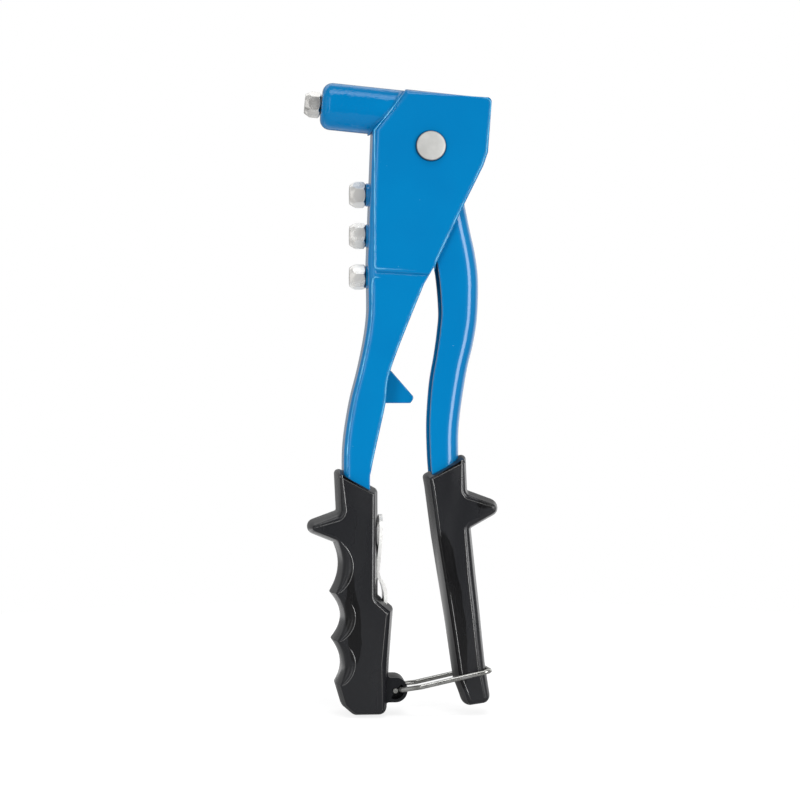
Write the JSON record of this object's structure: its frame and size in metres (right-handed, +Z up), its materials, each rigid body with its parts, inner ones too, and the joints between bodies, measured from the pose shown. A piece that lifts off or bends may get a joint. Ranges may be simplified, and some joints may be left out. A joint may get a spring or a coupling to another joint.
{
  "type": "angled hand riveter",
  "caption": "Hand tool that pulls blind rivets: turned nose on a folded steel body, lever with spring return, spare nosepieces, key and wire latch.",
  "frame": {"origin": "on the base of the fixed grip's level, below the middle of the whole tool's width and depth", "axes": "+Z up along the handles towards the nose end, -X the way the nose points, Y across the tool with its mid-plane at 0"},
  "size_m": [0.0804, 0.0274, 0.2624],
  "materials": {
    "blue_paint": "smooth gloss enamel",
    "black_vinyl": "moulded soft vinyl, satin to gloss",
    "bright_steel": "turned and ground",
    "zinc_plate": "bright zinc plate",
    "hardened_steel": "dark hardened steel"
  },
  "bodies": {
    "frame": {"body_shell": "blue_paint", "nose_barrel": "blue_paint", "spring_seat": "bright_steel", "nosepiece_fitted": "bright_steel", "spare_nosepiece_1": "bright_steel", "spare_nosepiece_2": "bright_steel", "spare_nosepiece_3": "bright_steel", "spare_holder_strip": "zinc_plate", "pivot_pin": "zinc_plate", "pivot_clip": "hardened_steel", "pivot_spacer": "zinc_plate", "stop_tab": "blue_paint", "fixed_grip": "black_vinyl", "return_spring": "bright_steel"},
    "lever": {"lever": "blue_paint", "lever_grip": "black_vinyl"},
    "puller": {"jaw_case": "hardened_steel", "pull_sleeve": "bright_steel"},
    "pusher": {"jaw_pusher": "bright_steel", "jaw_spring": "bright_steel"},
    "upper_jaw": {"jaw_upper": "hardened_steel"},
    "lower_jaw": {"jaw_lower": "hardened_steel"},
    "latch": {"latch_wire": "zinc_plate"},
    "wrench": {"nose_wrench": "zinc_plate"}
  },
  "joints": [
    {"name": "lever_hinge", "type": "hinge", "parent": "frame", "child": "lever", "pos_m": [0.0119, 0, 0.2353], "axis": [0, 1, 0], "range_deg": [0, 4], "stiffness_Nm_per_rad": 0.6, "springref_deg": -28.65},
    {"name": "puller_slide", "type": "slide", "parent": "frame", "child": "puller", "axis": [0.9959, 0, -0.0906], "range_m": [0, 0.001], "deforming": ["return_spring"]},
    {"name": "jaw_pusher_slide", "type": "slide", "parent": "puller", "child": "pusher", "axis": [0.9959, 0, -0.0906], "range_m": [0, 0.0015], "stiffness_N_per_m": 400, "springref_m": -0.002, "deforming": ["jaw_spring"]},
    {"name": "upper_jaw_slide", "type": "slide", "parent": "puller", "child": "upper_jaw", "axis": [0.993, 0, 0.1184], "range_m": [0, 0.00154]},
    {"name": "lower_jaw_slide", "type": "slide", "parent": "puller", "child": "lower_jaw", "axis": [0.9553, 0, -0.2957], "range_m": [0, 0.00154]},
    {"name": "latch_hinge", "type": "hinge", "parent": "frame", "child": "latch", "pos_m": [-0.0025, 0, 0.0105], "axis": [0, 1, 0], "range_deg": [0, 100]},
    {"name": "wrench_slide", "type": "slide", "parent": "frame", "child": "wrench", "axis": [0, 0, 1], "range_m": [0, 0.022]}
  ],
  "couplings": [
    {"joint": "puller_slide", "follows": "lever_hinge", "m_per_rad": 0.01345},
    {"joint": "upper_jaw_slide", "follows": "jaw_pusher_slide", "ratio": 1.0223},
    {"joint": "lower_jaw_slide", "follows": "jaw_pusher_slide", "ratio": 1.0223}
  ]
}
